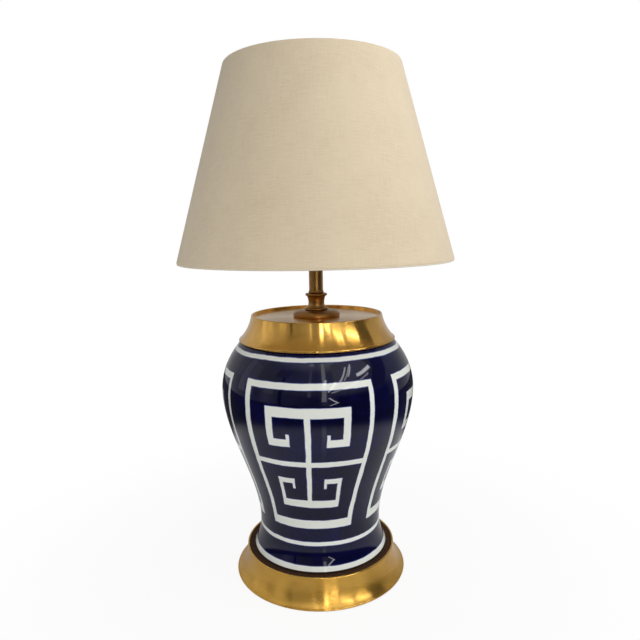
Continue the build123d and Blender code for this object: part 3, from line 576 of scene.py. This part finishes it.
# One finish for each material slot. The turned brasses' colours are linear.
finishes = {
    "felt": felt_cloth(),
    "board": moulded("pressed_board", srgb(142, 118, 92), srgb(112, 90, 66), 0.85, 0.8 * MM, 0.05 * MM),
    "base_brass": turned_metal(
        "base_brass", (0.76, 0.44, 0.085, 1), (0.60, 0.32, 0.05, 1), rough=0.26,
        line_depth=0.001, patina=0.85, lacquer=0.25,
    ),
    "cap_brass": turned_metal(
        "cap_brass", (0.86, 0.49, 0.11, 1), (0.64, 0.34, 0.06, 1), rough=0.17,
        line_depth=0.001, patina=0.85, lacquer=0.3,
    ),
    "stem_brass": turned_metal(
        "stem_brass", (0.44, 0.23, 0.065, 1), (0.22, 0.10, 0.025, 1), rough=0.34,
        line_depth=0.003, anisotropic=0.0, patina=0.7, lacquer=0.12,
    ),
    "iron": plain_metal(
        "cast_iron", srgb(72, 70, 68), srgb(40, 38, 38), 0.75, 1.2 * MM, 0.3 * MM, metallic=0.6
    ),
    "steel": zinc(),
    "cork": cork(),
    "porcelain": glaze(),
    "holder_brass": turned_metal("holder_brass", (0.72, 0.48, 0.17, 1), (0.50, 0.30, 0.09, 1), 0.30),
    "insulator": moulded("bakelite", srgb(44, 36, 32), srgb(24, 20, 18), 0.45),
    "card": moulded("fibre_sleeve", srgb(70, 62, 54), srgb(46, 40, 36), 0.85, 0.6 * MM, 0.04 * MM),
    "contact_brass": plain_metal(
        "contact_brass", srgb(226, 196, 120), srgb(190, 150, 80), 0.28, 0.4 * MM, 0.01 * MM
    ),
    "knob": moulded("black_knob", srgb(26, 25, 25), srgb(12, 12, 12), 0.30, coat_weight=0.3),
    "bushing": moulded("brown_bushing", srgb(74, 54, 40), srgb(50, 36, 26), 0.50),
    "bulb_metal": plain_metal(
        "bulb_shell", srgb(226, 226, 224), srgb(184, 184, 184), 0.25, 0.5 * MM, 0.01 * MM
    ),
    "bulb_tip": moulded("black_vitrite", srgb(20, 18, 24), srgb(8, 8, 10), 0.20),
    "opal": moulded(
        "opal_glass", srgb(244, 243, 238), srgb(236, 235, 230), 0.18, 8 * MM, 0.01 * MM, coat_weight=0.5
    ),
    "clear_glass": moulded(
        "glass_stem", srgb(222, 228, 228), srgb(206, 214, 214), 0.12, transmission_weight=0.8
    ),
    "wire_brass": plain_metal(
        "plated_wire", srgb(214, 182, 112), srgb(176, 140, 76), 0.30, 0.8 * MM, 0.02 * MM
    ),
    "wire_white": moulded(
        "white_enamel", srgb(236, 235, 230), srgb(222, 220, 214), 0.35, 0.8 * MM, 0.02 * MM
    ),
    "finial_brass": turned_metal("finial_brass", (0.80, 0.50, 0.15, 1), (0.58, 0.32, 0.08, 1), 0.20),
    "liner": moulded("shade_liner", srgb(236, 230, 214), srgb(224, 216, 198), 0.55, 1.5 * MM, 0.02 * MM),
    "linen": linen(),
}

for subpart in frame["record"]["subparts"]:
    node = frame["nodes"][subpart["node"]]
    node.data.materials.clear()
    node.data.materials.append(finishes[subpart["material_slot"]])

cloth_section = linen_section()
cloth = shade_linen(cloth_section, finishes["linen"])
seam = shade_seam(cloth_section, finishes["linen"])
felt = felt_disc(finishes["felt"])
for piece, slot_name, body in ((cloth, "linen", "shade"), (seam, "linen", "shade"), (felt, "felt", "base")):
    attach(piece, body)
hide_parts("shade_fabric")
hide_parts("felt_pad")


# Studio

CAMERA_DISTANCE = 0.7718    # from the lamp's axis
CAMERA_HEIGHT = 0.4603
CAMERA_ASIDE = 4.4 * MM     # to the right, which sets the lamp left of the picture's middle
CAMERA_PITCH = 8.70         # degrees down
CAMERA_ROLL = -0.98         # the lamp leans left a little in the picture
SENSOR = 36.0               # millimetres
PICTURE = 640               # pixels across
FOCAL_PIXELS = 591.1
AIM = Vector((0, 0, 0.30))  # what the lights and the room turn about


def make_camera():
    data = bpy.data.cameras.new("camera")
    data.sensor_width = SENSOR
    data.lens = FOCAL_PIXELS / PICTURE * SENSOR
    camera = bpy.data.objects.new("camera", data)
    bpy.context.scene.collection.objects.link(camera)
    turn = Matrix.Rotation(math.radians(90 - CAMERA_PITCH), 4, "X")
    roll = Matrix.Rotation(math.radians(CAMERA_ROLL), 4, "Z")
    place = Matrix.Translation((CAMERA_ASIDE, -CAMERA_DISTANCE, CAMERA_HEIGHT))
    camera.matrix_world = place @ turn @ roll
    bpy.context.scene.camera = camera


def bearing(azimuth, elevation, distance):
    """A point round the lamp's middle. Azimuth 0 is the camera's side and 90 its right."""
    a, e = math.radians(azimuth), math.radians(elevation)
    return AIM + distance * Vector((math.sin(a) * math.cos(e), -math.cos(a) * math.cos(e), math.sin(e)))


def soft_light(name, azimuth, elevation, distance, width, height, power):
    """A soft box that lights the lamp but isn't mirrored in it."""
    data = bpy.data.lights.new(name, "AREA")
    data.shape = "RECTANGLE"
    data.size, data.size_y = width, height
    data.energy = power
    lamp = bpy.data.objects.new(name, data)
    bpy.context.scene.collection.objects.link(lamp)
    point = bearing(azimuth, elevation, distance)
    turn = (point - AIM).to_track_quat("Z", "Y").to_matrix().to_4x4()
    lamp.matrix_world = Matrix.Translation(point) @ turn
    lamp.visible_glossy = False
    lamp.visible_camera = False


# Name, azimuth, elevation, distance, width, height and power
LIGHTS = (
    ("key", 70, 50, 1.1, 0.7, 0.7, 3.8),
    ("front", 28, 16, 1.8, 1.2, 1.2, 11.6),
    ("left", -60, 5, 0.8, 0.5, 0.5, 0.9),
    ("back", 176, 14, 1.8, 1.0, 1.0, 7.0),
)


def ray_kind(tree, *kinds):
    """1 for rays of one of those kinds, else 0."""
    path = tree.nodes.new("ShaderNodeLightPath")
    seen = Field(tree, path.outputs[f"Is {kinds[0]} Ray"])
    for kind in kinds[1:]:
        seen = seen.most(Field(tree, path.outputs[f"Is {kind} Ray"]))
    return seen


# What is mirrored in glaze and brass: a bright room, which only glossy rays see. Each of the first
# three lists gives a brightness by azimuth, at one height of the room.
ROOM_R = 2.2
ROOM_COLUMNS, ROOM_ROWS = 72, 24
BRIGHTEST = 3.0             # in those three lists, at most
SKIRTING = (
    (-180, 0.5), (-120, 0.5), (-72, 0.25), (-60, 0.55), (-44, 0.25), (-20, 0.2), (-8, 0.12), (1, 0.12),
    (7, 0.5), (15, 0.3), (24, 0.06), (60, 0.05), (84, 0.05), (104, 0.4), (140, 0.5),
)
WALLS = (
    (-180, 0.4), (-140, 0.5), (-85, 0.58), (-55, 0.42), (-28, 0.36), (-16, 0.45), (-1, 0.34), (4, 0.5),
    (16, 0.6), (22, 0.6), (39, 0.75), (52, 0.6), (66, 0.4), (80, 0.4), (102, 0.45), (125, 0.42),
)
CEILING = (
    (-180, 0.3), (-105, 0.9), (-80, 0.7), (-45, 0.95), (-20, 1.3), (0, 1.1), (10, 2.0), (35, 1.7),
    (60, 1.1), (85, 0.7), (100, 0.2), (140, 0.3),
)
WALL_FROM = (4.0, 16.0)     # degrees of elevation, where skirting turns into wall
CEILING_FROM = (40.0, 56.0)
STREAK_SHARE = 0.5          # how much upright streaks lighten and darken the room,
STREAK_ACROSS, STREAK_UP = 0.6, 0.02    # and how quickly they change with a degree
# Bright and dark shapes on the walls: azimuth, elevation, half width, half height, how far it leans
# to the right as it goes up, how far it rises to the right, and brightness. A later one lies on top.
SHAPES = (
    # pale upper wall on the right
    (48, 44, 27, 16, 0.0, 0.3, 1.0),
    # two tall bright slits, and their tops
    (8, 34, 2.0, 34, 0.04, 0.0, 3.4),
    (8.5, 28, 1.2, 4, 0.4, 0.0, 12.0),
    (10, 70, 6, 12, 0.0, 0.0, 3.0),
    (-10, 30, 1.2, 22, 0.0, 0.0, 1.0),
    (-10, 66, 4, 14, 0.0, 0.0, 2.6),
    # dark post and panel on the left, with paler windows beyond
    (-43, 8, 1.5, 26, 0.0, 0.0, 0.05),
    (-45, 37, 9, 5, 0.3, 0.1, 0.25),
    (-58, 14, 6, 7, 0.0, 0.0, 0.8),
    (-97, 16, 5, 17, 0.0, 0.0, 0.8),
    (-84, 16, 5, 17, 0.0, 0.0, 0.7),
    # dark panel on the right
    (88, 28, 13, 20, 0.9, 0.0, 0.12),
    # slanting strips, and two that lie nearly level
    (35, 36, 0.8, 9, 0.8, 0.0, 10.0),
    (41, 37, 0.5, 8, 0.9, 0.0, 8.0),
    (46, 40, 0.7, 7, 0.8, 0.0, 10.0),
    (42, 21, 26, 0.5, 0.0, 0.3, 6.0),
    (64, 33, 12, 1.5, 0.0, 0.15, 14.0),
    # short strokes that meet in a chevron
    (17, 21, 0.8, 6, 0.8, 0.0, 14.0),
    (17, 1, 0.7, 4, -1.1, 0.0, 12.0),
    (18, -5, 0.7, 2, 2.0, 0.0, 12.0),
)
SHAPE_SOFT = 0.8            # degrees over which their edges fade


def room_level(finish):
    """The brightness of the room, by azimuth and elevation."""
    _, _, z = finish.xyz()
    azimuth = finish.around() * math.degrees(1)
    elevation = ((z - AIM.z) / ROOM_R).math("ARCSINE") * math.degrees(1)

    def band(levels):
        stops = [((place + 180) / 360, (level / BRIGHTEST,) * 3 + (1,)) for place, level in levels]
        return finish.ramp(azimuth / 360 + 0.5, *stops, (1.0, stops[0][1])) * BRIGHTEST

    walls, ceiling, skirting = band(WALLS), band(CEILING), band(SKIRTING)
    level = skirting + (walls - skirting) * elevation.step(*WALL_FROM)
    level = level + (ceiling - level) * elevation.step(*CEILING_FROM)
    upright = finish.vector(azimuth * STREAK_ACROSS, elevation * STREAK_UP, 0.0)
    streaks = finish.noise(1.0, 3.0, at=upright, rough=0.7) - 0.5
    level = level * (streaks * 2 * STREAK_SHARE + 1.0)
    for place, height, half_width, half_height, lean, rise, brightness in SHAPES:
        aside = abs(azimuth - (elevation - height) * lean - place)
        above = abs(elevation - (azimuth - place) * rise - height)
        inside = aside.step(half_width + SHAPE_SOFT, half_width)
        inside = inside * above.step(half_height + SHAPE_SOFT, half_height)
        level = level + (level * -1.0 + brightness) * inside
    return level


def make_room():
    """A dome from the floor up, which only glossy rays see."""
    finish = Finish("room")
    emission = finish.tree.nodes.new("ShaderNodeEmission")
    feed(emission.inputs["Strength"], room_level(finish))
    finish.surface(emission.outputs[0])
    lowest = -math.degrees(math.asin(AIM.z / ROOM_R))
    points = []
    for row in range(ROOM_ROWS + 1):
        elevation = lowest + (90 - lowest) * row / ROOM_ROWS
        for column in range(ROOM_COLUMNS):
            points.append(bearing(360 * column / ROOM_COLUMNS, elevation, ROOM_R))
    faces = tube_faces(ROOM_ROWS + 1, ROOM_COLUMNS)
    room = mesh_piece("room", points, faces, finish.material, smooth=False)
    for kind in ("camera", "diffuse", "transmission", "volume_scatter", "shadow"):
        setattr(room, "visible_" + kind, False)


AMBIENT = 0.36              # the world's light on the lamp, while what is seen of it is plain white
FLOOR_SIZE = 12.0
FLOOR_WHITE = 0.84
FLOOR_ROUGH = 0.9
FLOOR_SHINE = 0.1
FLOOR_PLAIN = 0.91          # share of plain white background in the floor near the lamp
FLOOR_FADE = (0.16, 0.60)   # from the lamp, where the floor turns into plain white background
FLOOR_MIRRORED = 1.0        # brightness of the floor in brass and glaze, near the lamp and far from it
FLOOR_MIRRORED_FAR = 0.06
MIRRORED_EDGE = (0.38, 0.52)    # from the lamp, where one turns into the other
MIRRORED_STREAK = (6.0, 2.0, 2.6)   # azimuth, half width and brightness of a bright strip on the floor


def make_world():
    world = bpy.data.worlds.new("world")
    bpy.context.scene.world = world
    world.use_nodes = True
    tree = world.node_tree
    background = tree.nodes["Background"]
    background.inputs["Color"].default_value = (1, 1, 1, 1)
    seen = ray_kind(tree, "Camera", "Glossy", "Transmission")
    feed(background.inputs["Strength"], seen * (1 - AMBIENT) + AMBIENT)


def make_floor():
    """A pale floor that fades into plain white, and that brass and glaze mirror as a bright table."""
    finish = Finish("floor", specular_ior_level=FLOOR_SHINE)
    finish.colour((FLOOR_WHITE, FLOOR_WHITE, FLOOR_WHITE, 1))
    finish.roughness(FLOOR_ROUGH)
    tree = finish.tree
    away = finish.away()
    far = away.step(*FLOOR_FADE)
    direct = ray_kind(tree, "Camera", "Transmission")
    mirrored = ray_kind(tree, "Glossy")
    plain = (far * (1 - FLOOR_PLAIN) + FLOOR_PLAIN) * direct + far * mirrored
    emission = tree.nodes.new("ShaderNodeEmission")
    place, half_width, brightness = MIRRORED_STREAK
    aside = abs(finish.around() * math.degrees(1) - place)
    near = aside.step(half_width + SHAPE_SOFT, half_width) * (brightness - FLOOR_MIRRORED) + FLOOR_MIRRORED
    seen = near + (near * -1.0 + FLOOR_MIRRORED_FAR) * away.step(*MIRRORED_EDGE)
    feed(emission.inputs["Strength"], mirrored * (seen - 1.0) + 1.0)
    mix = tree.nodes.new("ShaderNodeMixShader")
    feed(mix.inputs[0], plain)
    tree.links.new(finish.shader.outputs[0], mix.inputs[1])
    tree.links.new(emission.outputs[0], mix.inputs[2])
    finish.surface(mix.outputs[0])
    half = FLOOR_SIZE / 2
    corners = [(-half, -half, 0), (half, -half, 0), (half, half, 0), (-half, half, 0)]
    mesh_piece("floor", corners, [(0, 1, 2, 3)], finish.material, smooth=False)


make_camera()
make_world()
make_floor()
make_room()
for light in LIGHTS:
    soft_light(*light)

scene = bpy.context.scene
scene.view_settings.view_transform = "Standard"
